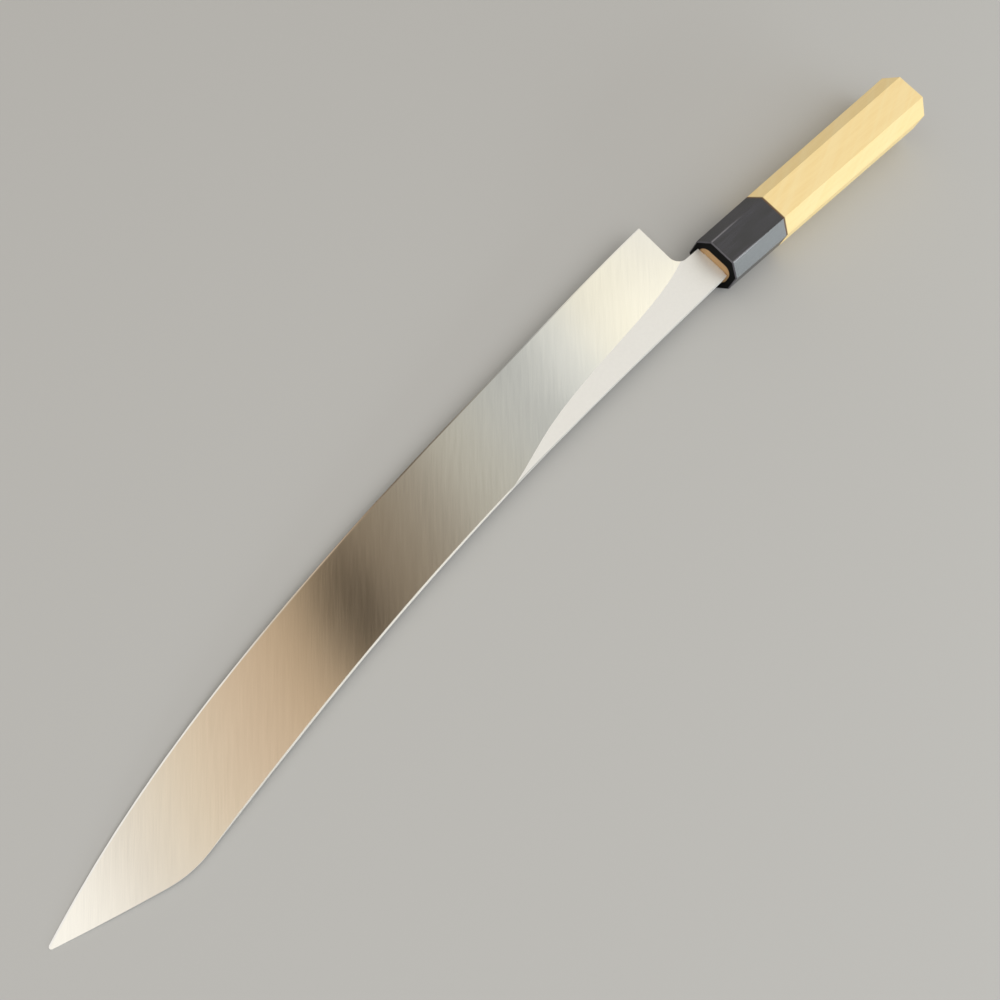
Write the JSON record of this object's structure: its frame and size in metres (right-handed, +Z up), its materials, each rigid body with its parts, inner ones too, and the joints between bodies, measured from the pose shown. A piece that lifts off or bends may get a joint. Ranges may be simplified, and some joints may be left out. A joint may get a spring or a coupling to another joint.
{
  "type": "yanagiba knife",
  "caption": "Long slender single-bevel slicing knife with a clipped tip, a hollow-ground back and an octagonal wooden handle with a dark horn ferrule.",
  "frame": {"origin": "on the table, under the middle of the lying knife's bounding box", "axes": "+X from the butt of the handle to the blade's tip, +Y from the cutting edge to the spine, +Z up, out of the bevelled side"},
  "size_m": [0.4846, 0.0648, 0.0233],
  "materials": {
    "blade_steel": "satin steel, the wide bevel brushed slantwise across the blade, the flat above it finer and greyer",
    "ferrule_horn": "polished black horn with faint grey streaks along the handle",
    "grip_wood": "pale golden wood, smoothed and lightly oiled, with a faint slanting figure"
  },
  "bodies": {
    "root": {"blade": "blade_steel", "ferrule": "ferrule_horn", "grip": "grip_wood"}
  },
  "joints": []
}
